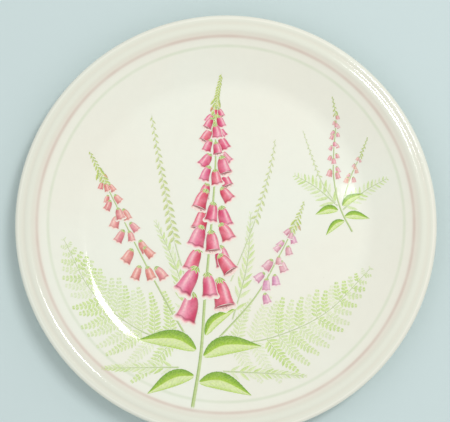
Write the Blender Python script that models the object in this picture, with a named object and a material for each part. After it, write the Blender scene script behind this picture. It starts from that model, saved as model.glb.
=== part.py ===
"""Round coupe dinner plate in glazed ivory earthenware, one fired piece.

The plate is a solid of revolution about Z. It stands on its foot ring at z = 0, with the
origin at the centre of the foot. The cross-section is two chains of tangent arcs and
straight runs, both walked outwards from the axis: the upper surface out to the rolled lip
with its two beads and the groove between them, and the underside round the foot ring and up
the back of the wall. A short hollow sweep under the lip joins them. Units are metres.
"""

from math import cos, pi, radians, sin, tau

import bpy

# Driving dimensions.
PLATE_RADIUS = 0.130
FLOOR_RADIUS = 0.0840  # flat part of the eating surface
FLOOR_THICKNESS = 0.0052
WALL_THICKNESS = 0.0048

# The foot ring the plate stands on.
FOOT_RADIUS = 0.0775  # middle of the flat that touches the table
FOOT_FLAT = 0.0030
FOOT_HEIGHT = 0.0030
FOOT_FILLET = 0.0014  # hollow where the foot leaves the base
FOOT_ROUND = 0.0007  # worn edges of the foot
FOOT_SIDE = 80.0  # slope of the foot's sides, in degrees

# The upper surface turns up from the floor, climbs as a shallow coupe and ends in two beads.
BEND_RADIUS = 0.024
BEND_SLOPE = 22.0
COUPE_RADIUS = 0.420
COUPE_SLOPE = 26.0
INNER_BEAD_RISE_RADIUS = 0.0050
INNER_BEAD_FALL_RADIUS = 0.0060
GROOVE_RADIUS = 0.0040
GROOVE_SLOPE = 16.0
OUTER_BEAD_RADIUS = 0.0040

# The lip rolls right under, then sweeps back into the underside of the wall.
LIP_UNDERCUT = -205.0
LIP_SWEEP = 0.0026  # how far each end of the sweep keeps its direction

SEGMENTS = 80  # round the plate
MERGE_DISTANCE = 0.00005
IVORY_GLAZE = (0.86, 0.85, 0.76, 1.0)
GLAZE_ROUGHNESS = 0.15


class Outline:
    """A chain of points (radius, height) that turns only along arcs, so every joint is smooth.

    The heading is in degrees: 0 is outwards, 90 is up, -90 is down.
    """

    def __init__(self, height):
        self.points = [(0.0, height)]
        self.heading = 0.0

    @property
    def end(self):
        return self.points[-1]

    def run(self, length):
        radius, height = self.end
        turn = radians(self.heading)
        self.points.append((radius + length * cos(turn), height + length * sin(turn)))

    def run_out_to(self, radius):
        self.run((radius - self.end[0]) / cos(radians(self.heading)))

    def bend(self, bend_radius, new_heading, steps):
        """Turns from the present heading to the new one along an arc of the bend radius."""
        side = 1 if new_heading > self.heading else -1
        start = radians(self.heading)
        sweep = radians(new_heading) - start
        centre_radius = self.end[0] - side * bend_radius * sin(start)
        centre_height = self.end[1] + side * bend_radius * cos(start)
        for step in range(1, steps + 1):
            angle = start + sweep * step / steps
            radius = centre_radius + side * bend_radius * sin(angle)
            height = centre_height - side * bend_radius * cos(angle)
            self.points.append((radius, height))
        self.heading = new_heading


def upper_outline():
    """Floor, coupe wall, inner bead, groove, outer bead and the lip rolled under."""
    outline = Outline(FOOT_HEIGHT + FLOOR_THICKNESS)
    outline.run_out_to(FLOOR_RADIUS)
    outline.bend(BEND_RADIUS, BEND_SLOPE, 5)
    outline.bend(COUPE_RADIUS, COUPE_SLOPE, 4)
    outline.bend(INNER_BEAD_RISE_RADIUS, 0.0, 3)
    outline.bend(INNER_BEAD_FALL_RADIUS, -GROOVE_SLOPE, 2)
    outline.bend(GROOVE_RADIUS, GROOVE_SLOPE, 3)
    outline.bend(OUTER_BEAD_RADIUS, 0.0, 2)
    lip_radius = PLATE_RADIUS - outline.end[0]
    outline.bend(lip_radius, -90.0, 5)
    outline.bend(lip_radius, LIP_UNDERCUT, 5)
    return outline


def under_outline():
    """Recessed base, foot ring and the back of the coupe wall."""
    outline = Outline(FOOT_HEIGHT)
    side = radians(FOOT_SIDE)
    side_run = (FOOT_HEIGHT - (FOOT_FILLET + FOOT_ROUND) * (1.0 - cos(side))) / sin(side)
    side_width = (FOOT_FILLET + FOOT_ROUND) * sin(side) + side_run * cos(side)
    outline.run_out_to(FOOT_RADIUS - FOOT_FLAT / 2.0 - side_width)
    outline.bend(FOOT_FILLET, -FOOT_SIDE, 3)
    outline.run(side_run)
    outline.bend(FOOT_ROUND, 0.0, 2)
    outline.run(FOOT_FLAT)
    outline.bend(FOOT_ROUND, FOOT_SIDE, 2)
    outline.run(side_run)
    outline.bend(FOOT_FILLET, 0.0, 3)
    outline.run_out_to(FLOOR_RADIUS)
    outline.bend(BEND_RADIUS + FLOOR_THICKNESS, BEND_SLOPE, 5)
    outline.bend(COUPE_RADIUS + WALL_THICKNESS, COUPE_SLOPE, 4)
    return outline


def sweep_between(upper, under, steps):
    """Points of the hollow under the lip, from the upper chain's end to the under chain's."""
    leave = radians(upper.heading)
    arrive = radians(under.heading)
    guide = [
        upper.end,
        (upper.end[0] + LIP_SWEEP * cos(leave), upper.end[1] + LIP_SWEEP * sin(leave)),
        (under.end[0] + LIP_SWEEP * cos(arrive), under.end[1] + LIP_SWEEP * sin(arrive)),
        under.end,
    ]
    points = []
    for step in range(1, steps):
        t = step / steps
        weights = [(1 - t) ** 3, 3 * t * (1 - t) ** 2, 3 * t * t * (1 - t), t ** 3]
        radius = sum(weight * point[0] for weight, point in zip(weights, guide))
        height = sum(weight * point[1] for weight, point in zip(weights, guide))
        points.append((radius, height))
    return points


def cross_section():
    """The closed-off outline, from the middle of the eating surface to that of the base."""
    upper = upper_outline()
    under = under_outline()
    return upper.points + sweep_between(upper, under, 5) + under.points[::-1]


def glaze_material():
    material = bpy.data.materials.new("ivory_glaze")
    material.use_nodes = True
    shader = material.node_tree.nodes["Principled BSDF"]
    shader.inputs["Base Color"].default_value = IVORY_GLAZE
    shader.inputs["Metallic"].default_value = 0.0
    shader.inputs["Roughness"].default_value = GLAZE_ROUGHNESS
    return material


def revolve(name, outline, material):
    """A closed solid from an outline that starts and ends on the axis."""
    vertices = [(radius, 0.0, height) for radius, height in outline]
    edges = [(index, index + 1) for index in range(len(outline) - 1)]
    mesh = bpy.data.meshes.new(name)
    mesh.from_pydata(vertices, edges, [])
    solid = bpy.data.objects.new(name, mesh)
    bpy.context.scene.collection.objects.link(solid)

    screw = solid.modifiers.new("turn", "SCREW")
    screw.axis = "Z"
    screw.angle = tau
    screw.steps = SEGMENTS
    screw.render_steps = SEGMENTS
    screw.use_merge_vertices = True
    screw.merge_threshold = MERGE_DISTANCE
    screw.use_smooth_shade = True

    bpy.context.view_layer.objects.active = solid
    solid.select_set(True)
    bpy.ops.object.modifier_apply(modifier=screw.name)
    solid.data.materials.append(material)
    solid.data.shade_smooth()
    solid.data.set_sharp_from_angle(angle=pi / 4)
    return solid


def main():
    for old in list(bpy.data.objects):
        bpy.data.objects.remove(old, do_unlink=True)
    revolve("plate", cross_section(), glaze_material())


main()
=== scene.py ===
"""Looks of a round ivory dinner plate with a printed spray of foxgloves, ferns and leaves.

The fired body is rebuilt finer than the CAD solid, on the same outline. The decoration is a
set of thin ink films that follow the eating surface, drawn by the functions below from a few
given stems. Lengths are metres; places and sizes in the spray are shares of the plate's
radius, with x to the right and y to the top of the picture.
"""

from math import cos, pi, radians, sin, tau

import bpy
import numpy as np
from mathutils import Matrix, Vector


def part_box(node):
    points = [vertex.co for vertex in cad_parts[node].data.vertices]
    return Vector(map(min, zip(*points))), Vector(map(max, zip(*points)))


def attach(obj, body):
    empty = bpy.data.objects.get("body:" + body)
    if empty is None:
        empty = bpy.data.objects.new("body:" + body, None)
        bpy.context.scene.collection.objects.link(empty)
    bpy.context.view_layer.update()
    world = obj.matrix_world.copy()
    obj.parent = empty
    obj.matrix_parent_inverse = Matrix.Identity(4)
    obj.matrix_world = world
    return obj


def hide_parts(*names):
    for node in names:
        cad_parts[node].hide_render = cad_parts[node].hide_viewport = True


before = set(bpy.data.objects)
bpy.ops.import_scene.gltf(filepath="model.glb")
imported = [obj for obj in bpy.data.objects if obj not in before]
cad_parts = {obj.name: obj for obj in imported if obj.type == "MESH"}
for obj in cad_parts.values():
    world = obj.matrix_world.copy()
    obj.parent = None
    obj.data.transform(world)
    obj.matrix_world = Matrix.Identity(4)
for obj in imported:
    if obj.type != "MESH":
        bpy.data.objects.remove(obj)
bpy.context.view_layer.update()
plate_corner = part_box("plate")[1]

# ------------------------------------------------------------------ the fired body's outline

PLATE_RADIUS = plate_corner.x
FLOOR_RADIUS = 0.0840
FLOOR_THICKNESS = 0.0052
WALL_THICKNESS = 0.0048

FOOT_RADIUS = 0.0775
FOOT_FLAT = 0.0030
FOOT_HEIGHT = 0.0030
FOOT_FILLET = 0.0014
FOOT_ROUND = 0.0007
FOOT_SIDE = 80.0

BEND_RADIUS = 0.024
BEND_SLOPE = 22.0
COUPE_RADIUS = 0.420
COUPE_SLOPE = 26.0
INNER_BEAD_RISE_RADIUS = 0.0050
INNER_BEAD_FALL_RADIUS = 0.0060
GROOVE_RADIUS = 0.0040
GROOVE_SLOPE = 16.0
OUTER_BEAD_RADIUS = 0.0040
LIP_UNDERCUT = -205.0
LIP_SWEEP = 0.0026

TURNS = 320  # quads round the plate
LONGEST_RUN = 0.007  # longest straight quad along the outline
FINEST_TURN = 2.0  # degrees turned by one quad of an arc
SHORTEST_STEP = 0.00035


class Outline:
    """A chain of points (radius, height) that turns only along arcs, so every joint is smooth.

    The heading is in degrees: 0 is outwards, 90 is up, -90 is down.
    """

    def __init__(self, height):
        self.points = [(0.0, height)]
        self.heading = 0.0

    @property
    def end(self):
        return self.points[-1]

    def run(self, length):
        radius, height = self.end
        turn = radians(self.heading)
        steps = max(1, round(length / LONGEST_RUN))
        for step in range(1, steps + 1):
            gone = length * step / steps
            self.points.append((radius + gone * cos(turn), height + gone * sin(turn)))

    def run_out_to(self, radius):
        self.run((radius - self.end[0]) / cos(radians(self.heading)))

    def bend(self, bend_radius, new_heading):
        """Turns from the present heading to the new one along an arc of the bend radius."""
        side = 1 if new_heading > self.heading else -1
        start = radians(self.heading)
        sweep = radians(new_heading) - start
        by_turn = abs(new_heading - self.heading) / FINEST_TURN
        by_length = abs(sweep) * bend_radius / SHORTEST_STEP
        by_run = abs(sweep) * bend_radius / LONGEST_RUN * 4
        steps = max(2, round(max(min(by_turn, by_length), by_run)))
        centre_radius = self.end[0] - side * bend_radius * sin(start)
        centre_height = self.end[1] + side * bend_radius * cos(start)
        for step in range(1, steps + 1):
            angle = start + sweep * step / steps
            radius = centre_radius + side * bend_radius * sin(angle)
            height = centre_height - side * bend_radius * cos(angle)
            self.points.append((radius, height))
        self.heading = new_heading


def upper_outline():
    """Floor, coupe wall, inner bead, groove and outer bead."""
    outline = Outline(FOOT_HEIGHT + FLOOR_THICKNESS)
    outline.run_out_to(FLOOR_RADIUS)
    outline.bend(BEND_RADIUS, BEND_SLOPE)
    outline.bend(COUPE_RADIUS, COUPE_SLOPE)
    outline.bend(INNER_BEAD_RISE_RADIUS, 0.0)
    outline.bend(INNER_BEAD_FALL_RADIUS, -GROOVE_SLOPE)
    outline.bend(GROOVE_RADIUS, GROOVE_SLOPE)
    outline.bend(OUTER_BEAD_RADIUS, 0.0)
    return outline


def lip_outline(outline):
    """Carries the upper outline over the outer edge and right under it."""
    lip_radius = PLATE_RADIUS - outline.end[0]
    outline.bend(lip_radius, -90.0)
    outline.bend(lip_radius, LIP_UNDERCUT)
    return outline


def under_outline():
    """Recessed base, foot ring and the back of the coupe wall."""
    outline = Outline(FOOT_HEIGHT)
    side = radians(FOOT_SIDE)
    side_run = (FOOT_HEIGHT - (FOOT_FILLET + FOOT_ROUND) * (1.0 - cos(side))) / sin(side)
    side_width = (FOOT_FILLET + FOOT_ROUND) * sin(side) + side_run * cos(side)
    outline.run_out_to(FOOT_RADIUS - FOOT_FLAT / 2.0 - side_width)
    outline.bend(FOOT_FILLET, -FOOT_SIDE)
    outline.run(side_run)
    outline.bend(FOOT_ROUND, 0.0)
    outline.run(FOOT_FLAT)
    outline.bend(FOOT_ROUND, FOOT_SIDE)
    outline.run(side_run)
    outline.bend(FOOT_FILLET, 0.0)
    outline.run_out_to(FLOOR_RADIUS)
    outline.bend(BEND_RADIUS + FLOOR_THICKNESS, BEND_SLOPE)
    outline.bend(COUPE_RADIUS + WALL_THICKNESS, COUPE_SLOPE)
    return outline


def sweep_between(upper, under, steps):
    """Points of the hollow under the lip, from the upper chain's end to the under chain's."""
    leave = radians(upper.heading)
    arrive = radians(under.heading)
    guide = np.array(
        [
            upper.end,
            (upper.end[0] + LIP_SWEEP * cos(leave), upper.end[1] + LIP_SWEEP * sin(leave)),
            (under.end[0] + LIP_SWEEP * cos(arrive), under.end[1] + LIP_SWEEP * sin(arrive)),
            under.end,
        ]
    )
    t = np.linspace(0.0, 1.0, steps + 1)[1:-1]
    weights = np.stack([(1 - t) ** 3, 3 * t * (1 - t) ** 2, 3 * t * t * (1 - t), t**3], 1)
    return [tuple(point) for point in weights @ guide]


# ------------------------------------------------------------------ small helpers


def srgb(red, green, blue):
    """A screen colour, 0 to 255, as the linear values that the shaders use."""
    shares = np.array([red, green, blue]) / 255.0
    return np.where(shares <= 0.04045, shares / 12.92, ((shares + 0.055) / 1.055) ** 2.4)


def rgba(colour):
    return (*(float(share) for share in colour), 1.0)


def smooth(value, start, end):
    """0 before start, 1 past end, and an S-shaped rise between. It also runs backwards."""
    share = np.clip((np.asarray(value, float) - start) / (end - start), 0.0, 1.0)
    return share * share * (3.0 - 2.0 * share)


def mixed(first, second, share):
    """Two colours, or grids of colours, mixed by a share or a grid of shares."""
    share = np.asarray(share, float)[..., None]
    return np.asarray(first) * (1.0 - share) + np.asarray(second) * share


def turned(direction, degrees):
    """A plan direction turned anticlockwise."""
    angle = radians(degrees)
    x, y = direction
    return np.array([x * cos(angle) - y * sin(angle), x * sin(angle) + y * cos(angle)])


# ------------------------------------------------------------------ materials

IVORY = srgb(240, 242, 229)
IVORY_WARM = srgb(241, 239, 225)
# Painted shade: the rim beyond the bands is coloured darker and a little greener.
RIM_PAINTED_SHADE = srgb(230, 231, 216)
SPECK = srgb(150, 128, 100)
PINK_BAND = srgb(206, 176, 164)
PINK_BLOOM = srgb(232, 210, 197)
GREEN_BAND = srgb(208, 220, 190)
BISCUIT = srgb(214, 200, 176)
BISCUIT_DARK = srgb(180, 164, 138)

# Darker at the foot of the inner bead and in the groove: partly glaze gathered there, partly painted
# shade in those hollows.
GROOVE_GLAZE_AND_SHADE = srgb(224, 216, 200)
BEAD_FOOT = {"radius": 0.1186, "half_width": 0.0011, "centre": (0.0, 0.0), "strength": 0.18}
GROOVE = {"radius": 0.1247, "half_width": 0.0010, "centre": (0.0, 0.0), "strength": 0.36}

RIM_SHADE_RADII = (0.1130, 0.1215)  # radii over which the rim is painted darker and greener: painted shade

# The bands are painted on a wheel, each a little off the plate's centre.
PINK_CENTRE = (-0.0002, 0.0005)
PINK_LINE = {"radius": 0.1163, "half_width": 0.0008, "centre": PINK_CENTRE, "strength": 0.52}
PINK_EDGE = {"radius": 0.1171, "half_width": 0.0020, "centre": PINK_CENTRE, "strength": 0.26}
GREEN_LINE = {"radius": 0.1102, "half_width": 0.0008, "centre": (0.0002, 0.0009), "strength": 0.50}

# Every ring and its colour, from the lowest layer to the highest.
RINGS = (
    (BEAD_FOOT, GROOVE_GLAZE_AND_SHADE),
    (GROOVE, GROOVE_GLAZE_AND_SHADE),
    (GREEN_LINE, GREEN_BAND),
    (PINK_EDGE, PINK_BLOOM),
    (PINK_LINE, PINK_BAND),
)


class Nodes:
    """Adds and joins shader nodes in one material."""

    def __init__(self, name):
        self.material = bpy.data.materials.new(name)
        self.material.use_nodes = True
        self.tree = self.material.node_tree
        self.shader = self.tree.nodes["Principled BSDF"]
        self.object_place = self.tree.nodes.new("ShaderNodeTexCoord").outputs["Object"]

    def feed(self, socket, value):
        if isinstance(value, bpy.types.NodeSocket):
            self.tree.links.new(value, socket)
        elif isinstance(value, np.ndarray):
            socket.default_value = rgba(value)
        else:
            socket.default_value = value

    def noise(self, scale, detail=2.0, roughness=0.5):
        node = self.tree.nodes.new("ShaderNodeTexNoise")
        node.inputs["Scale"].default_value = scale
        node.inputs["Detail"].default_value = detail
        node.inputs["Roughness"].default_value = roughness
        self.feed(node.inputs["Vector"], self.object_place)
        return node.outputs["Fac"]

    def maths(self, operation, first, second=0.0):
        node = self.tree.nodes.new("ShaderNodeMath")
        node.operation = operation
        self.feed(node.inputs[0], first)
        self.feed(node.inputs[1], second)
        return node.outputs[0]

    def ramp(self, value, start, end, low=0.0, high=1.0):
        """Maps start..end to low..high with a smooth step."""
        node = self.tree.nodes.new("ShaderNodeMapRange")
        node.interpolation_type = "SMOOTHSTEP"
        self.feed(node.inputs["Value"], value)
        node.inputs["From Min"].default_value = start
        node.inputs["From Max"].default_value = end
        node.inputs["To Min"].default_value = low
        node.inputs["To Max"].default_value = high
        return node.outputs["Result"]

    def mix(self, share, first, second, blend="MIX"):
        node = self.tree.nodes.new("ShaderNodeMix")
        node.data_type = "RGBA"
        node.blend_type = blend
        self.feed(node.inputs["Factor"], share)
        self.feed(node.inputs[6], first)  # colour A
        self.feed(node.inputs[7], second)  # colour B
        return node.outputs[2]  # the mixed colour

    def bump(self, height, distance):
        """Relief of the given height difference, in metres."""
        node = self.tree.nodes.new("ShaderNodeBump")
        node.inputs["Strength"].default_value = 1.0
        node.inputs["Distance"].default_value = distance
        self.feed(node.inputs["Height"], height)
        self.tree.links.new(node.outputs["Normal"], self.shader.inputs["Normal"])

    def off_centre(self, centre):
        """Distance in plan from a place near the plate's middle."""
        split = self.tree.nodes.new("ShaderNodeSeparateXYZ")
        self.tree.links.new(self.object_place, split.inputs["Vector"])
        across = self.maths("SUBTRACT", split.outputs["X"], centre[0])
        along = self.maths("SUBTRACT", split.outputs["Y"], centre[1])
        squares = self.maths("ADD", self.maths("POWER", across, 2), self.maths("POWER", along, 2))
        return self.maths("SQRT", squares)

    def band(self, line):
        """Share of colour in a ring, a painted band or the darker glaze and painted shade of a
        hollow: soft sided, and uneven along its length.
        """
        from_line = self.maths("SUBTRACT", self.off_centre(line["centre"]), line["radius"])
        wander = self.maths("MULTIPLY", self.maths("SUBTRACT", self.noise(14.0), 0.5), 0.0006)
        away = self.maths("ABSOLUTE", self.maths("ADD", from_line, wander))
        body = self.ramp(away, 0.0, line["half_width"] * 2.0, 1.0, 0.0)
        strength = line["strength"]
        dryness = self.ramp(self.noise(55.0, 4.0), 0.3, 0.7, strength * 0.72, strength)
        return self.maths("MULTIPLY", body, dryness)


def ivory(nodes, banded):
    """The glaze: ivory that warms and cools slowly, with fine specks, and if banded the rim's painted
    shade and the rings.
    """
    drift = nodes.ramp(nodes.noise(11.0, 3.0), 0.3, 0.7)
    colour = nodes.mix(drift, IVORY, IVORY_WARM)
    cloud = nodes.ramp(nodes.noise(160.0, 4.0, 0.6), 0.25, 0.75, 0.985, 1.0)
    colour = nodes.mix(1.0, colour, cloud, "MULTIPLY")
    specks = nodes.tree.nodes.new("ShaderNodeTexVoronoi")
    specks.inputs["Scale"].default_value = 130.0
    nodes.feed(specks.inputs["Vector"], nodes.object_place)
    dot = nodes.ramp(specks.outputs["Distance"], 0.012, 0.05, 0.45, 0.0)
    rare = nodes.ramp(nodes.noise(38.0), 0.60, 0.66)
    colour = nodes.mix(nodes.maths("MULTIPLY", dot, rare), colour, SPECK)
    if banded:
        # Painted shade on the rim past the bands, darker and greener.
        rim_shade = nodes.ramp(nodes.off_centre((0.0, 0.0)), *RIM_SHADE_RADII)
        colour = nodes.mix(rim_shade, colour, RIM_PAINTED_SHADE)
        for ring, paint in RINGS:
            colour = nodes.mix(nodes.band(ring), colour, paint)
    return colour


def gloss(nodes):
    """A clear glaze: bright, a little uneven, with the faint ripple of a dipped surface."""
    uneven = nodes.ramp(nodes.noise(70.0, 3.0), 0.3, 0.7, 0.065, 0.105)
    nodes.feed(nodes.shader.inputs["Roughness"], uneven)
    nodes.shader.inputs["IOR"].default_value = 1.52
    nodes.bump(nodes.noise(120.0, 3.0, 0.4), 0.000022)


def glaze_material(name, banded):
    nodes = Nodes(name)
    nodes.feed(nodes.shader.inputs["Base Color"], ivory(nodes, banded))
    gloss(nodes)
    return nodes.material


def biscuit_material():
    """The dry flat of the foot ring, ground clean of glaze."""
    nodes = Nodes("dry_foot")
    grain = nodes.noise(900.0, 5.0, 0.7)
    wear = nodes.ramp(nodes.noise(45.0, 3.0), 0.35, 0.7)
    colour = nodes.mix(nodes.ramp(grain, 0.3, 0.7), BISCUIT, BISCUIT_DARK)
    nodes.feed(nodes.shader.inputs["Base Color"], nodes.mix(wear, colour, BISCUIT))
    nodes.feed(nodes.shader.inputs["Roughness"], nodes.ramp(grain, 0.2, 0.8, 0.72, 0.92))
    nodes.bump(grain, 0.00008)
    return nodes.material


def ink_material():
    """Ceramic ink fired under the glaze. The mesh's own colours say how much ink, and which."""
    nodes = Nodes("fired_ink")
    ink = nodes.tree.nodes.new("ShaderNodeAttribute")
    ink.attribute_name = "ink"
    grain = nodes.maths("SUBTRACT", nodes.noise(1500.0, 2.0), 0.5)
    spread = nodes.maths("ADD", ink.outputs["Alpha"], nodes.maths("MULTIPLY", grain, 0.55))
    cover = nodes.ramp(spread, 0.12, 0.88)
    tone = nodes.ramp(nodes.noise(700.0, 3.0), 0.25, 0.75, 0.90, 1.09)
    colour = nodes.mix(1.0, ink.outputs["Color"], tone, "MULTIPLY")
    nodes.feed(nodes.shader.inputs["Base Color"], nodes.mix(cover, ivory(nodes, True), colour))
    gloss(nodes)
    return nodes.material


# ------------------------------------------------------------------ the plate


def link(name, mesh):
    piece = bpy.data.objects.new(name, mesh)
    bpy.context.scene.collection.objects.link(piece)
    return piece


def revolve(outline, kinds, turns):
    """Vertices, faces and each face's kind for an outline that starts and ends on the axis."""
    ring = np.arange(turns) * tau / turns
    around = np.stack([np.cos(ring), np.sin(ring)], 1)
    inner = np.array(outline[1:-1])
    rings = np.concatenate(
        [
            inner[:, None, :1] * around[None],
            np.broadcast_to(inner[:, None, 1:], (len(inner), turns, 1)),
        ],
        2,
    )
    vertices = [(0.0, 0.0, outline[0][1]), *map(tuple, rings.reshape(-1, 3))]
    vertices.append((0.0, 0.0, outline[-1][1]))
    last = len(vertices) - 1
    index = 1 + np.arange(len(inner) * turns).reshape(len(inner), turns)
    after = np.roll(index, -1, 1)
    quads = np.stack([index[:-1], index[1:], after[1:], after[:-1]], -1).reshape(-1, 4)
    faces = [(0, int(a), int(b)) for a, b in zip(index[0], after[0])]
    faces += [tuple(map(int, quad)) for quad in quads]
    faces += [(last, int(b), int(a)) for a, b in zip(index[-1], after[-1])]
    return vertices, faces, np.repeat(kinds, turns)


def make_plate():
    upper = upper_outline()
    bead_end = len(upper.points)
    lip_outline(upper)
    under = under_outline()
    outline = upper.points + sweep_between(upper, under, 16) + under.points[::-1]
    heights = np.array(outline)[:, 1]
    dry = np.maximum(heights[:-1], heights[1:]) < FOOT_ROUND * 0.1
    kinds = np.where(dry, 2, np.where(np.arange(len(outline) - 1) < bead_end, 0, 1))
    vertices, faces, face_kinds = revolve(outline, kinds, TURNS)
    mesh = bpy.data.meshes.new("plate_body")
    mesh.from_pydata(vertices, [], faces)
    mesh.materials.append(glaze_material("ivory_glaze_banded", True))
    mesh.materials.append(glaze_material("ivory_glaze", False))
    mesh.materials.append(biscuit_material())
    mesh.polygons.foreach_set("material_index", face_kinds.astype(np.int32))
    mesh.shade_smooth()
    plate = link("plate_body", mesh)
    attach(plate, "root")
    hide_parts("plate")


# ------------------------------------------------------------------ ink films

BASE_LIFT = 0.000020  # lowest film above the glaze
LIFT_STEP = 0.0000012  # between one film and the next over it
HALF_LEVEL = 0.5  # between small blades that may overlap

# The lowest level of each kind of film, and how many levels one frond or one bell takes.
FERN_LEVEL = 0
FROND_LEVELS = 11
STEM_LEVEL = 46
LEAF_LEVEL = 51
BELL_LEVEL = 56
BELL_LEVELS = 8

EATING_SURFACE = np.array(upper_outline().points)
SLOPE_REACH = 0.0004  # to each side of a place, where its slope is measured


def ground_height(radius):
    """Height of the eating surface at a distance from the plate's axis."""
    return np.interp(radius, EATING_SURFACE[:, 0], EATING_SURFACE[:, 1])


class Film:
    """Patches of ink on the eating surface, gathered into one mesh."""

    def __init__(self):
        self.places = []
        self.inks = []
        self.lifts = []
        self.faces = []
        self.count = 0

    def lay(self, places, ink, level):
        """Adds a grid of plan places, each with its ink colour and cover, at a level."""
        rows, columns = places.shape[:2]
        index = self.count + np.arange(rows * columns).reshape(rows, columns)
        quads = np.stack([index[:-1, :-1], index[1:, :-1], index[1:, 1:], index[:-1, 1:]], -1)
        self.faces.append(quads.reshape(-1, 4))
        self.places.append(places.reshape(-1, 2) * PLATE_RADIUS)
        self.inks.append(np.broadcast_to(ink, (rows, columns, 4)).reshape(-1, 4))
        self.lifts.append(np.full(rows * columns, BASE_LIFT + level * LIFT_STEP))
        self.count += rows * columns

    def make(self, name, material):
        """One object whose films follow the plate, and shine as the glaze under them does."""
        plan = np.concatenate(self.places)
        lift = np.concatenate(self.lifts)
        radius = np.linalg.norm(plan, axis=1)
        outer = ground_height(radius + SLOPE_REACH)
        inner = ground_height(np.maximum(radius - SLOPE_REACH, 0))
        slope = (outer - inner) / (2 * SLOPE_REACH)
        outwards = plan / np.maximum(radius, 1e-6)[:, None]
        normals = np.column_stack([-outwards * slope[:, None], np.ones(len(plan))])
        normals /= np.linalg.norm(normals, axis=1)[:, None]
        points = np.column_stack([plan, ground_height(radius)]) + normals * lift[:, None]
        mesh = bpy.data.meshes.new(name)
        mesh.from_pydata(points.tolist(), [], np.concatenate(self.faces).tolist())
        colours = mesh.color_attributes.new("ink", "FLOAT_COLOR", "POINT")
        colours.data.foreach_set("color", np.concatenate(self.inks).astype(np.float32).ravel())
        mesh.materials.append(material)
        mesh.shade_smooth()
        mesh.normals_split_custom_set_from_vertices(normals.tolist())
        piece = link(name, mesh)
        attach(piece, "root")


CURVE_STEPS = 20  # between two neighbouring points of a path
HEADING_REACH = 0.02  # share of a path to each side, over which its heading is taken


class Path:
    """A smooth curve through a few plan points, followed by its share of length."""

    def __init__(self, *points):
        knots = np.array(points, float)
        self.knots = knots
        first = 2 * knots[0] - knots[1]
        last = 2 * knots[-1] - knots[-2]
        ends = np.vstack([first, knots, last])
        t = np.linspace(0, 1, CURVE_STEPS, endpoint=False)[:, None]
        pieces = []
        for a, b, c, d in zip(ends, ends[1:], ends[2:], ends[3:]):
            cubic = 3 * (b - c) + d - a
            square = 2 * a - 5 * b + 4 * c - d
            pieces.append(b + 0.5 * t * (c - a + t * (square + t * cubic)))
        self.points = np.vstack([*pieces, knots[-1:]])
        steps = np.linalg.norm(np.diff(self.points, axis=0), axis=1)
        self.travel = np.concatenate([[0.0], np.cumsum(steps)])
        self.length = self.travel[-1]

    def backwards(self):
        return Path(*self.knots[::-1])

    def at(self, share):
        gone = np.asarray(share, float) * self.length
        return np.stack([np.interp(gone, self.travel, self.points[:, axis]) for axis in (0, 1)], -1)

    def heading(self, share):
        ahead = self.at(np.clip(np.asarray(share) + HEADING_REACH, 0, 1))
        behind = self.at(np.clip(np.asarray(share) - HEADING_REACH, 0, 1))
        step = ahead - behind
        return step / np.linalg.norm(step, axis=-1, keepdims=True)


def ribbon(path, half_width, rows, columns):
    """A grid across a path: u runs along it, and v goes from -1 on its right to 1 on its left."""
    u, v = np.meshgrid(np.linspace(0, 1, rows), np.linspace(-1, 1, columns), indexing="ij")
    along = path.heading(u)
    side = np.stack([-along[..., 1], along[..., 0]], -1)
    reach = v * half_width(u, v)
    return u, v, path.at(u) + side * reach[..., None]


def with_cover(colour, cover):
    """A grid of ink: colour with its share of cover."""
    cover = np.broadcast_to(cover, colour.shape[:2])
    return np.concatenate([colour, cover[..., None]], -1)


# ------------------------------------------------------------------ the parts of a plant

STEM_GREEN = srgb(196, 214, 150)
STEM_SHADE = srgb(140, 170, 84)
LEAF_PALE = srgb(230, 242, 164)
LEAF_MID = srgb(178, 214, 50)
LEAF_DARK = srgb(114, 168, 8)
LEAF_EDGE = srgb(84, 132, 6)
FERN_PALE = srgb(216, 234, 156)
FERN_DARK = srgb(176, 210, 88)
BUD_GREEN = srgb(204, 216, 116)
BELL_SPOT = srgb(150, 30, 66)

ROSE = {
    "pale": srgb(250, 186, 200),
    "body": srgb(230, 84, 120),
    "deep": srgb(198, 36, 76),
    "edge": srgb(140, 34, 52),
    "lip": srgb(250, 222, 212),
}
CORAL = {
    "pale": srgb(250, 196, 186),
    "body": srgb(228, 112, 116),
    "deep": srgb(204, 70, 84),
    "edge": srgb(160, 70, 60),
    "lip": srgb(252, 220, 206),
}
MAUVE = {
    "pale": srgb(246, 206, 216),
    "body": srgb(224, 150, 172),
    "deep": srgb(200, 104, 136),
    "edge": srgb(170, 90, 110),
    "lip": srgb(250, 226, 222),
}


STEM_ROW = 0.004  # length of one row of a stem: short, so that it keeps to the bend
MIDRIB_ROW = 0.012
FIRST_BRANCH = 0.10  # share of a frond below its first branches
BRANCHED = 0.88  # share of a frond that is set with branches
BRANCH_CROWDING = 0.8  # below 1 sets the branches closer towards the tip
BRANCH_HALF_LEVELS = 7  # that one pair of branches takes
PINNULE_SPACING = 0.0190
PINNULE_ANGLE = 58.0


def draw_stem(film, path, thick, thin, level, cover):
    """A round stem, thick at the path's start, lit from its right and shaded on its left."""
    rows = max(8, round(path.length / STEM_ROW))
    u, v, places = ribbon(path, lambda u, v: (thick + (thin - thick) * u) / 2, rows, 7)
    colour = mixed(STEM_GREEN, STEM_SHADE, smooth(v, -0.1, 0.9))
    ends = smooth(u, 0.0, 0.02) * smooth(u, 1.0, 0.98)
    film.lay(places, with_cover(colour, cover * ends * smooth(abs(v), 1.0, 0.7)), level)


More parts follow.
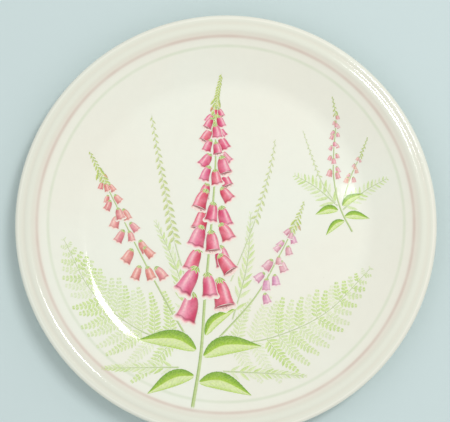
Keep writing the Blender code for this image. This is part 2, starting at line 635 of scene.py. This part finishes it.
def draw_blade(film, base, tip, width, first, second, level, cover, rows=7):
    """A small lens-shaped blade: a pinnule, a sepal, a bract or a bud."""

    def half_width(u, v):
        return width / 2 * (0.08 + 0.92 * np.sin(pi * u**0.75) ** 0.8)

    u, v, places = ribbon(Path(base, (base + tip) / 2, tip), half_width, rows, 5)
    colour = mixed(first, second, smooth(v, -0.3, 0.9))
    film.lay(places, with_cover(colour, cover * smooth(abs(v), 1.0, 0.55)), level)


def draw_leaf(film, base, tip, width, level, bend, dark_side, teeth=15):
    """A toothed leaf, one half in full stippled green and the other pale, with its veins."""
    rng = np.random.default_rng(round(1000 * abs(tip[0] + 3 * tip[1])))
    base = np.asarray(base, float)
    tip = np.asarray(tip, float)
    side = turned(tip - base, 90.0)
    path = Path(base, (base * 0.6 + tip * 0.4) + side * bend, tip)

    def half_width(u, v):
        oval = np.sin(pi * u**0.80) * (1.0 - 0.22 * u)
        tooth = ((u * teeth) % 1.0) * smooth(abs(v), 0.8, 1.0)
        return width / 2 * (0.03 + 1.12 * oval * (1.0 + 0.07 * tooth))

    u, v, places = ribbon(path, half_width, teeth * 5 + 1, 23)
    across = v * dark_side
    dark_half = smooth(across, -0.02, 0.04)
    vein_phase = u * teeth * 0.75 - abs(v) * 2.1
    vein = np.exp(-(((vein_phase % 1.0) - 0.5) / 0.10) ** 2) * smooth(abs(v), 0.02, 0.12)
    pale = mixed(LEAF_PALE, LEAF_MID, 0.25 + 0.55 * smooth(across, -0.35, -1.0))
    full = mixed(LEAF_MID, LEAF_DARK, 0.30 + 0.65 * smooth(across, 0.15, 0.85))
    colour = mixed(pale, full, dark_half)
    colour = mixed(colour, LEAF_DARK, vein * (0.30 + 0.15 * dark_half))
    stipple = rng.uniform(0.0, 1.0, u.shape) ** 2
    colour = mixed(colour, LEAF_EDGE, stipple * (0.10 + 0.65 * smooth(across, 0.0, 0.7)))
    colour = mixed(colour, LEAF_PALE, rng.uniform(0.0, 0.25, u.shape) * dark_half)
    colour = mixed(colour, LEAF_EDGE, smooth(abs(v), 0.86, 0.97) * (0.15 + 0.5 * dark_half))
    colour = mixed(colour, LEAF_PALE, np.exp(-((across + 0.03) / 0.035) ** 2) * 0.75)
    soft = smooth(abs(v), 1.0, 0.95) * smooth(u, 0.0, 0.03)
    strength = 0.62 + 0.38 * dark_half + 0.2 * smooth(abs(v), 0.7, 0.95)
    film.lay(places, with_cover(colour, soft * np.clip(strength, 0, 1)), level)


def draw_frond(film, path, reach, pairs, rise, level, cover, seed, pinnate_from=0.085):
    """A fern frond from base to tip, with pairs of branches.

    reach(s) is the length of a branch at a share s of the frond, and rise(s) its angle.
    Branches shorter than pinnate_from are single blades.
    """
    rng = np.random.default_rng(seed)
    draw_stem(film, path, 0.010, 0.003, level + FROND_LEVELS - HALF_LEVEL, cover)
    for pair in range(pairs):
        s = FIRST_BRANCH + BRANCHED * (pair / (pairs - 1)) ** BRANCH_CROWDING
        base = path.at(s)
        along = path.heading(s)
        for side in (-1, 1):
            length = reach(s) * rng.uniform(0.88, 1.08)
            out = turned(along, -side * (rise(s) + rng.uniform(-4, 4)))
            curl = turned(out, side * 10.0)
            pinna = Path(base, base + out * length * 0.55, base + (out + curl) / 2 * length)
            strength = cover * rng.uniform(0.6, 1.05)
            above = level + (pair % 3 * BRANCH_HALF_LEVELS + (side > 0)) * HALF_LEVEL
            if length > pinnate_from:
                draw_pinna(film, pinna, 0.15 * length + 0.008, above, strength, rng)
            else:
                breadth = 0.30 * length + 0.004
                light = mixed(FERN_PALE, FERN_DARK, rng.uniform(0.0, 0.5))
                draw_blade(film, base, pinna.at(1.0), breadth, light, FERN_DARK, above, strength)


def draw_pinna(film, pinna, width, level, cover, rng):
    """One side branch of a frond, set with pinnules on both its sides."""
    draw_blade_line(film, pinna, 0.0045, level, cover)
    count = max(3, round(pinna.length / PINNULE_SPACING))
    breadth = min(0.021, 0.004 + 0.25 * pinna.length)
    for k in range(count):
        s = (k + 0.6) / (count + 0.2)
        base = pinna.at(s)
        along = pinna.heading(s)
        for side in (-1, 1):
            length = width * (1.0 - s) ** 0.7 * rng.uniform(0.8, 1.15)
            length += min(0.006, 0.1 * pinna.length)
            tip = base + turned(along, side * PINNULE_ANGLE) * length
            light = mixed(FERN_PALE, FERN_DARK, rng.uniform(0.0, 0.6))
            shade = mixed(FERN_DARK, LEAF_DARK, rng.uniform(0.0, 0.4) ** 2)
            above = level + (1 + k % 3 * 2 + (side > 0)) * HALF_LEVEL
            draw_blade(film, base, tip, breadth, light, shade, above, cover, rows=5)


def draw_blade_line(film, path, thickness, level, cover):
    """A thin tapering line."""
    rows = max(4, round(path.length / MIDRIB_ROW))
    u, v, places = ribbon(path, lambda u, v: thickness / 2 * (1.0 - 0.7 * u), rows, 3)
    colour = mixed(FERN_DARK, FERN_PALE, smooth(u, 0.3, 1.0))
    film.lay(places, with_cover(colour, cover), level)


def faded(inks, share):
    """The same inks mixed towards the ground."""
    return {name: mixed(ink, IVORY, share) for name, ink in inks.items()}


def tinted(inks, rng):
    """The same inks laid a little thinner or fuller, as from bell to bell on one spike."""
    thin = rng.uniform(0.0, 0.30)
    lean = mixed(np.array([1.0, 1.05, 0.84]), np.array([0.97, 0.94, 1.16]), rng.uniform())
    body = mixed(inks["body"], inks["pale"], thin) * lean
    deep = mixed(inks["deep"], inks["body"], thin) * lean
    return {**inks, "body": body, "deep": deep}


BELL_SHARE = 0.92  # of a bell's patch: the rest is the gap round it
BELL_STATIONS = np.array([0.0, 0.05, 0.14, 0.30, 0.50, 0.72, 0.88, 1.0])  # down the bell
BELL_WIDTHS = np.array([0.16, 0.36, 0.54, 0.68, 0.76, 0.81, 0.88, 1.06])  # shares of the mouth
MOUTH_ABOVE = 2  # levels over the bell
CALYX_ABOVE = 5


def draw_bell(film, base, hang, length, inks, lit_side, rng, level, spotted):
    """A foxglove bell hung by its calyx, with the light down one side and a turned-out lip."""
    hang = np.asarray(hang, float)
    inks = tinted(inks, rng)
    side = turned(hang, 90.0)
    sag = rng.uniform(-0.05, 0.05)
    path = Path(base, base + hang * length * 0.5 + side * sag * length, base + hang * length)
    mouth = 0.78 * length * rng.uniform(0.88, 1.12)

    def half_width(u, v):
        width = np.interp(u / BELL_SHARE, BELL_STATIONS, BELL_WIDTHS)
        return mouth / 2 * width / BELL_SHARE + 0.001

    u, v, places = ribbon(path, half_width, 28, 21)
    # The mouth's front edge bulges and is scalloped.
    scallop = 0.035 * np.cos(v * 2.5 * pi)
    fall = (0.10 * (1.0 - v**2) + scallop) * smooth(u, 0.55, 1.0)
    places = places + hang * (fall * length)[..., None]

    u = u / BELL_SHARE
    v = v / BELL_SHARE
    across = v * lit_side
    crest = rng.uniform(0.15, 0.6)
    gleam = np.exp(-(((across - crest) / rng.uniform(0.22, 0.40)) ** 2))
    colour = mixed(inks["body"], inks["pale"], gleam * smooth(u, 0.0, 0.25) * (1.1 - 0.35 * u))
    colour = mixed(colour, inks["deep"], 0.9 * smooth(across, 0.05, -0.85))
    streaks = 0.5 + 0.5 * np.cos(v * 15.0 + 1.2 * np.sin(u * 5.0) + rng.uniform(0, tau))
    colour = mixed(colour, inks["deep"], 0.24 * streaks * smooth(u, 0.9, 0.2))
    wash = 0.5 + 0.5 * np.cos(u * rng.uniform(4, 8) + v * rng.uniform(-3, 3) + rng.uniform(0, tau))
    colour = mixed(colour, inks["pale"], 0.22 * wash**2)
    glint = np.exp(-(((across - crest) / 0.10) ** 2)) * smooth(u, 0.10, 0.35) * smooth(u, 0.85, 0.55)
    colour = mixed(colour, inks["lip"], 0.55 * glint)
    outline = smooth(abs(v), 0.84, 0.98) * smooth(u, 0.0, 0.15) * (0.58 - 0.22 * across)
    colour = mixed(colour, inks["edge"], outline)
    colour = mixed(colour, inks["pale"], 0.5 * smooth(u, 0.12, 0.0))
    colour = mixed(colour, inks["lip"], 0.8 * smooth(u, 0.91, 0.97))
    colour = mixed(colour, inks["edge"], 0.6 * np.exp(-(((u - 0.89) / 0.028) ** 2)))

    # The print leaves a pale gap round each bell, faintly tinted.
    inside = smooth(abs(v), 1.02, 0.96) * smooth(u, 1.02, 0.99)
    colour = mixed(inks["lip"], colour, inside)
    film.lay(places, with_cover(colour, np.maximum(inside, 0.25 * smooth(abs(v), 1.08, 1.0))), level)

    if spotted:
        draw_mouth(film, base + hang * length * 0.93, hang, mouth, inks, rng, level + MOUTH_ABOVE)
    draw_calyx(film, base, hang, length * 0.27, rng, level + CALYX_ABOVE)


def draw_mouth(film, centre, hang, mouth, inks, rng, level):
    """The open mouth seen from a little below: shadowed at the back, pale and spotted in front."""
    side = turned(hang, 90.0)
    left = centre + side * mouth * 0.46
    right = centre - side * mouth * 0.46
    path = Path(left, centre + hang * mouth * 0.05, right)
    u, v, places = ribbon(path, lambda u, v: mouth * 0.17 * np.sin(pi * u) ** 0.6 + 0.0006, 15, 9)
    colour = mixed(inks["edge"], inks["lip"], smooth(v, -0.75, 0.25))
    film.lay(places, with_cover(colour, 0.85 * smooth(abs(v), 1.0, 0.8)), level)
    for number in range(5):
        across = side * mouth * rng.uniform(-0.26, 0.26)
        spot = centre + across + hang * mouth * rng.uniform(0.0, 0.09)
        half = hang * 0.0024
        above = level + 1 + number * HALF_LEVEL
        draw_blade(film, spot - half, spot + half, 0.0045, BELL_SPOT, BELL_SPOT, above, 0.9, rows=5)


def draw_calyx(film, base, hang, size, rng, level):
    """The green cup of sepals that a bell hangs from."""
    start = base - hang * size * 0.35
    for number, angle in enumerate((-52, 52, -24, 24, 0)):
        reach = size * (1.0 if angle else 0.8) * rng.uniform(0.85, 1.1)
        tip = start + turned(hang, angle) * reach
        green = mixed(BUD_GREEN, LEAF_DARK, rng.uniform(0.0, 0.5))
        above = level + number * HALF_LEVEL
        draw_blade(film, start, tip, size * 0.34, green, LEAF_DARK, above, 0.95, rows=6)


def draw_bud(film, base, hang, length, ripeness, inks, level):
    """A closed bud, green at first and then flushed with the bell's colour."""
    colour = mixed(BUD_GREEN, inks["body"], ripeness)
    shade = mixed(STEM_SHADE, inks["deep"], ripeness)
    draw_blade(film, base, base + hang * length, length * 0.48, colour, shade, level, 0.95)
    start = base - hang * length * 0.1
    end = base + hang * length * 0.35
    draw_blade(film, start, end, length * 0.4, BUD_GREEN, LEAF_DARK, level + 1, 0.9)


WHORL = 3  # flowers that open at nearly the same height


def draw_spike(film, stem, flowers, span, lengths, inks, seed, lean=30.0, buds=0.12, spotted=False):
    """Buds and bells down a stem that starts at its tip.

    span is the flowering stretch, in shares of the stem. lengths are the youngest and the oldest
    flower's. buds is the share of the flowers that haven't opened.
    """
    rng = np.random.default_rng(seed)
    first, last = span
    ages = np.linspace(0.0, 1.0, flowers)
    sizes = lengths[0] + (lengths[1] - lengths[0]) * ages
    starts_whorl = np.arange(flowers) % WHORL == 0
    gaps = np.cumsum(sizes * np.where(starts_whorl, 1.9, 0.55))
    shares = first + (last - first) * (gaps - gaps[0]) / (gaps[-1] - gaps[0])
    for number, (age, size, share) in enumerate(zip(ages, sizes, shares)):
        side = (1, -1, 1, -1, 0)[number % 5]
        centre = stem.at(share)
        across = turned(stem.heading(share), 90.0)
        base = centre + across * side * size * (0.28 + 0.20 * age)
        fall = mixed(np.array([0.0, -1.0]), stem.heading(share), 0.35)
        out = side if side else rng.choice((-0.3, 0.3))
        hang = turned(fall / np.linalg.norm(fall), out * (lean * rng.uniform(0.45, 1.25)))
        size *= rng.uniform(0.8, 1.15)
        above = BELL_LEVEL + (number % 5) * BELL_LEVELS
        if age < buds:
            draw_bud(film, base, hang, size, smooth(age, buds * 0.35, buds), inks, above)
        else:
            lit = 1 if side >= 0 else -1
            draw_bell(film, base, hang, size, inks, lit, rng, above, spotted and number % 3 == 2)


def draw_bud_spike(film, stem, count, span, size, level, cover, seed):
    """Nothing but green buds, set close down a stem that starts at its tip."""
    rng = np.random.default_rng(seed)
    first, last = span
    for number in range(count):
        share = first + (last - first) * number / (count - 1)
        age = number / (count - 1)
        side = 1 if number % 2 else -1
        out = turned(stem.heading(share), side * (34.0 + 14.0 * age))
        base = stem.at(share)
        reach = size * (0.45 + 0.55 * age) * rng.uniform(0.85, 1.15)
        above = level + (1 + number % 4) * HALF_LEVEL
        draw_blade(film, base, base + out * reach, reach * 0.6, BUD_GREEN, STEM_SHADE, above, cover)


# ------------------------------------------------------------------ the spray


def main_group(ink):
    """Three spikes that fan out from one foot, with young spikes between them."""
    tall = Path(
        (-0.02, 0.74),
        (-0.05, 0.56),
        (-0.05, 0.30),
        (-0.07, 0.00),
        (-0.10, -0.34),
        (-0.12, -0.62),
        (-0.16, -0.88),
    )
    left = Path(
        (-0.66, 0.36),
        (-0.60, 0.24),
        (-0.50, 0.04),
        (-0.40, -0.16),
        (-0.28, -0.38),
        (-0.15, -0.60),
    )
    right = Path((0.38, 0.12), (0.34, 0.02), (0.25, -0.16), (0.13, -0.36), (-0.07, -0.58))
    young = Path((-0.36, 0.54), (-0.33, 0.36), (-0.28, 0.10), (-0.23, -0.14), (-0.13, -0.44))
    wisp = Path((0.24, 0.42), (0.21, 0.26), (0.14, 0.02), (0.02, -0.28))

    stems = Film()
    draw_stem(stems, tall.backwards(), 0.020, 0.006, STEM_LEVEL + 1, 1.0)
    draw_stem(stems, left.backwards(), 0.012, 0.005, STEM_LEVEL, 0.8)
    draw_stem(stems, right.backwards(), 0.012, 0.005, STEM_LEVEL - HALF_LEVEL, 0.8)
    draw_stem(stems, young.backwards(), 0.011, 0.004, STEM_LEVEL + HALF_LEVEL, 0.6)
    draw_stem(stems, wisp.backwards(), 0.008, 0.004, STEM_LEVEL - 1, 0.6)
    draw_bud_spike(stems, young, 38, (0.02, 0.62), 0.042, STEM_LEVEL + 1, 0.62, 21)
    draw_bud_spike(stems, wisp, 26, (0.02, 0.55), 0.032, STEM_LEVEL + 1, 0.6, 22)
    draw_bud_spike(stems, tall, 40, (0.01, 0.17), 0.035, STEM_LEVEL + 2, 0.9, 23)
    draw_bud_spike(stems, left, 20, (0.01, 0.17), 0.034, STEM_LEVEL + 1, 0.75, 24)
    draw_bud_spike(stems, right, 18, (0.01, 0.20), 0.032, STEM_LEVEL + 1, 0.7, 25)
    stems.make("print_stems", ink)

    bells = Film()
    draw_spike(bells, tall, 37, (0.080, 0.665), (0.031, 0.130), ROSE, 3, spotted=True)
    bells.make("print_tall_spike", ink)

    side_bells = Film()
    coral = faded(CORAL, 0.12)
    draw_spike(side_bells, left, 21, (0.10, 0.60), (0.032, 0.073), coral, 8, lean=32.0, buds=0.15)
    mauve = faded(MAUVE, 0.10)
    draw_spike(side_bells, right, 16, (0.12, 0.58), (0.028, 0.060), mauve, 9, lean=32.0, buds=0.2)
    side_bells.make("print_side_spikes", ink)


def lower_leaves(ink):
    """Leaves set round the foot of the tall stem."""
    film = Film()
    draw_leaf(film, (-0.14, -0.60), (-0.42, -0.55), 0.086, LEAF_LEVEL, -0.12, -1)
    draw_leaf(film, (-0.15, -0.72), (-0.37, -0.80), 0.074, LEAF_LEVEL + 1, -0.10, -1)
    draw_leaf(film, (-0.11, -0.63), (0.17, -0.58), 0.088, LEAF_LEVEL + 1, 0.12, 1)
    draw_leaf(film, (-0.13, -0.75), (0.12, -0.81), 0.080, LEAF_LEVEL + 2, 0.12, 1)
    draw_leaf(film, (-0.10, -0.53), (0.05, -0.40), 0.054, LEAF_LEVEL + 3, 0.12, 1, 11)
    film.make("print_leaves", ink)


def ferns(ink):
    """Bracken behind the spikes: a broad frond and a low slip to each side, and two upright slips."""
    broad = Film()
    sweeps = [
        ((-0.18, -0.58), (-0.42, -0.50), (-0.64, -0.32), (-0.78, -0.06)),
        ((-0.04, -0.58), (0.22, -0.54), (0.48, -0.42), (0.70, -0.20)),
    ]
    for number, sweep in enumerate(sweeps):
        draw_frond(
            broad,
            Path(*sweep),
            lambda s: 0.27 * (1.0 - s) ** 0.9 + 0.010,
            16,
            lambda s: 70.0 - 14.0 * s,
            FERN_LEVEL + FROND_LEVELS * number,
            0.66,
            seed=31 + number,
            pinnate_from=0.030,
        )
    broad.make("print_broad_fern", ink)

    slips = Film()
    for number, (base, tip, width) in enumerate(
        [
            ((-0.17, -0.48), (-0.34, 0.02), 0.074),
            ((0.03, -0.46), (0.12, 0.06), 0.070),
            ((-0.22, -0.68), (-0.58, -0.68), 0.058),
            ((-0.02, -0.70), (0.38, -0.72), 0.058),
        ]
    ):
        middle = (np.add(base, tip) / 2 + np.array([0.025, 0.0])).tolist()
        draw_frond(
            slips,
            Path(base, middle, tip),
            lambda s, width=width: width * (1.0 - s) ** 0.45 + 0.006,
            14,
            lambda s: 42.0 - 14.0 * s,
            FERN_LEVEL + FROND_LEVELS * (2 + number % 2),
            0.66,
            seed=41 + number,
        )
    slips.make("print_fern_slips", ink)


def right_sprig(ink):
    """The small sprig by itself, high on the right."""
    tall = Path((0.51, 0.62), (0.53, 0.50), (0.52, 0.36), (0.52, 0.22), (0.55, 0.08), (0.61, -0.04))
    short = Path((0.68, 0.42), (0.65, 0.34), (0.60, 0.23), (0.56, 0.10))
    thread = Path((0.37, 0.46), (0.41, 0.34), (0.46, 0.21), (0.53, 0.10))

    green = Film()
    draw_stem(green, tall.backwards(), 0.010, 0.004, STEM_LEVEL + 1, 0.9)
    draw_stem(green, short.backwards(), 0.009, 0.004, STEM_LEVEL, 0.8)
    draw_stem(green, thread.backwards(), 0.007, 0.003, STEM_LEVEL - HALF_LEVEL, 0.6)
    draw_bud_spike(green, tall, 10, (0.01, 0.14), 0.018, STEM_LEVEL + 1, 0.8, 51)
    draw_bud_spike(green, short, 10, (0.01, 0.24), 0.016, STEM_LEVEL + 1, 0.8, 52)
    draw_bud_spike(green, thread, 18, (0.02, 0.60), 0.017, STEM_LEVEL + 1, 0.6, 53)
    draw_leaf(green, (0.56, 0.09), (0.66, 0.15), 0.040, LEAF_LEVEL, 0.10, 1, 9)
    draw_leaf(green, (0.57, 0.04), (0.69, 0.03), 0.040, LEAF_LEVEL + 1, 0.10, 1, 9)
    draw_leaf(green, (0.54, 0.07), (0.43, 0.05), 0.042, LEAF_LEVEL, -0.12, -1, 9)
    draw_leaf(green, (0.57, 0.02), (0.48, -0.05), 0.036, LEAF_LEVEL + 1, -0.12, -1, 9)
    for number, (base, tip, width) in enumerate(
        [((0.54, 0.09), (0.33, 0.24), 0.072), ((0.56, 0.07), (0.77, 0.22), 0.05)]
    ):
        middle = (np.add(base, tip) / 2 + np.array([0.0, 0.015])).tolist()
        draw_frond(
            green,
            Path(base, middle, tip),
            lambda s, width=width: width * (1.0 - s) ** 0.6 + 0.010,
            11,
            lambda s: 58.0,
            FERN_LEVEL + FROND_LEVELS * number,
            0.66,
            seed=61 + number,
        )
    rose = faded(ROSE, 0.28)
    draw_spike(green, tall, 18, (0.12, 0.54), (0.017, 0.034), rose, 13, lean=20.0, buds=0.1)
    coral = faded(CORAL, 0.32)
    draw_spike(green, short, 9, (0.28, 0.62), (0.016, 0.026), coral, 14, lean=20.0, buds=0.1)
    green.make("print_right_sprig", ink)


# ------------------------------------------------------------------ stage, lights and camera

FLOOR_TONE = srgb(205, 220, 220)
CAMERA_DISTANCE = 0.85
CAMERA_ELEVATION = 86.5
FRAME_WIDTH = 0.2787  # how much of the floor the picture is wide
AIM = Vector((-0.0006, 0.0082, 0.016))
SENSOR_WIDTH = 36.0
FLOOR_HALF = 2.0

ROOM_TINT = (0.985, 1.0, 0.995, 1.0)
ROOM_GLOW = (0.36, 0.90)  # near the horizon, and overhead
KEY_AZIMUTH = 42.0
KEY_ZENITH = 25.0
KEY_DISTANCE = 1.5
KEY_SIZE = (0.25, 0.46)
KEY_WATTS = 6.8
LAMP_PLACE = (0.165, 0.0920, 0.85)
LAMP_SIZE = (0.010, 0.046)
LAMP_WATTS = 0.024


def direction(azimuth, zenith):
    """A unit vector: azimuth anticlockwise from +X in plan, zenith down from straight up."""
    turn = radians(azimuth)
    tilt = radians(zenith)
    return Vector((sin(tilt) * cos(turn), sin(tilt) * sin(turn), cos(tilt)))


def floor():
    mesh = bpy.data.meshes.new("floor")
    half = FLOOR_HALF
    corners = [(-half, -half, 0.0), (half, -half, 0.0), (half, half, 0.0), (-half, half, 0.0)]
    mesh.from_pydata(corners, [], [(0, 1, 2, 3)])
    nodes = Nodes("pale_floor")
    nodes.shader.inputs["Base Color"].default_value = rgba(FLOOR_TONE)
    nodes.shader.inputs["Roughness"].default_value = 0.9
    mesh.materials.append(nodes.material)
    link("floor", mesh)


def area_light(name, place, size, watts):
    lamp = bpy.data.lights.new(name, "AREA")
    lamp.shape = "RECTANGLE"
    lamp.size, lamp.size_y = size
    lamp.energy = watts
    holder = bpy.data.objects.new(name, lamp)
    holder.location = place
    holder.rotation_euler = (-Vector(place)).to_track_quat("-Z", "Y").to_euler()
    bpy.context.scene.collection.objects.link(holder)


def lights():
    world = bpy.data.worlds.new("soft_room")
    world.use_nodes = True
    tree = world.node_tree
    tree.nodes["Background"].inputs["Color"].default_value = ROOM_TINT
    up = tree.nodes.new("ShaderNodeSeparateXYZ")
    tree.links.new(tree.nodes.new("ShaderNodeTexCoord").outputs["Generated"], up.inputs["Vector"])
    glow = tree.nodes.new("ShaderNodeMapRange")
    glow.interpolation_type = "SMOOTHSTEP"
    glow.inputs["From Min"].default_value = 0.1
    glow.inputs["From Max"].default_value = 1.0
    glow.inputs["To Min"].default_value = ROOM_GLOW[0]
    glow.inputs["To Max"].default_value = ROOM_GLOW[1]
    tree.links.new(up.outputs["Z"], glow.inputs["Value"])
    tree.links.new(glow.outputs["Result"], tree.nodes["Background"].inputs["Strength"])
    bpy.context.scene.world = world
    key_place = direction(KEY_AZIMUTH, KEY_ZENITH) * KEY_DISTANCE
    area_light("key", key_place, KEY_SIZE, KEY_WATTS)
    area_light("lamp", LAMP_PLACE, LAMP_SIZE, LAMP_WATTS)


def camera():
    elevation = radians(CAMERA_ELEVATION)
    lens = bpy.data.cameras.new("camera")
    lens.sensor_width = SENSOR_WIDTH
    lens.lens = SENSOR_WIDTH * CAMERA_DISTANCE / FRAME_WIDTH
    eye = bpy.data.objects.new("camera", lens)
    eye.location = AIM + Vector((0.0, -cos(elevation), sin(elevation))) * CAMERA_DISTANCE
    eye.rotation_euler = (AIM - eye.location).to_track_quat("-Z", "Y").to_euler()
    bpy.context.scene.collection.objects.link(eye)
    bpy.context.scene.camera = eye
    bpy.context.scene.view_settings.view_transform = "Standard"


camera()
floor()
lights()
make_plate()
ink = ink_material()
ferns(ink)
lower_leaves(ink)
main_group(ink)
right_sprig(ink)
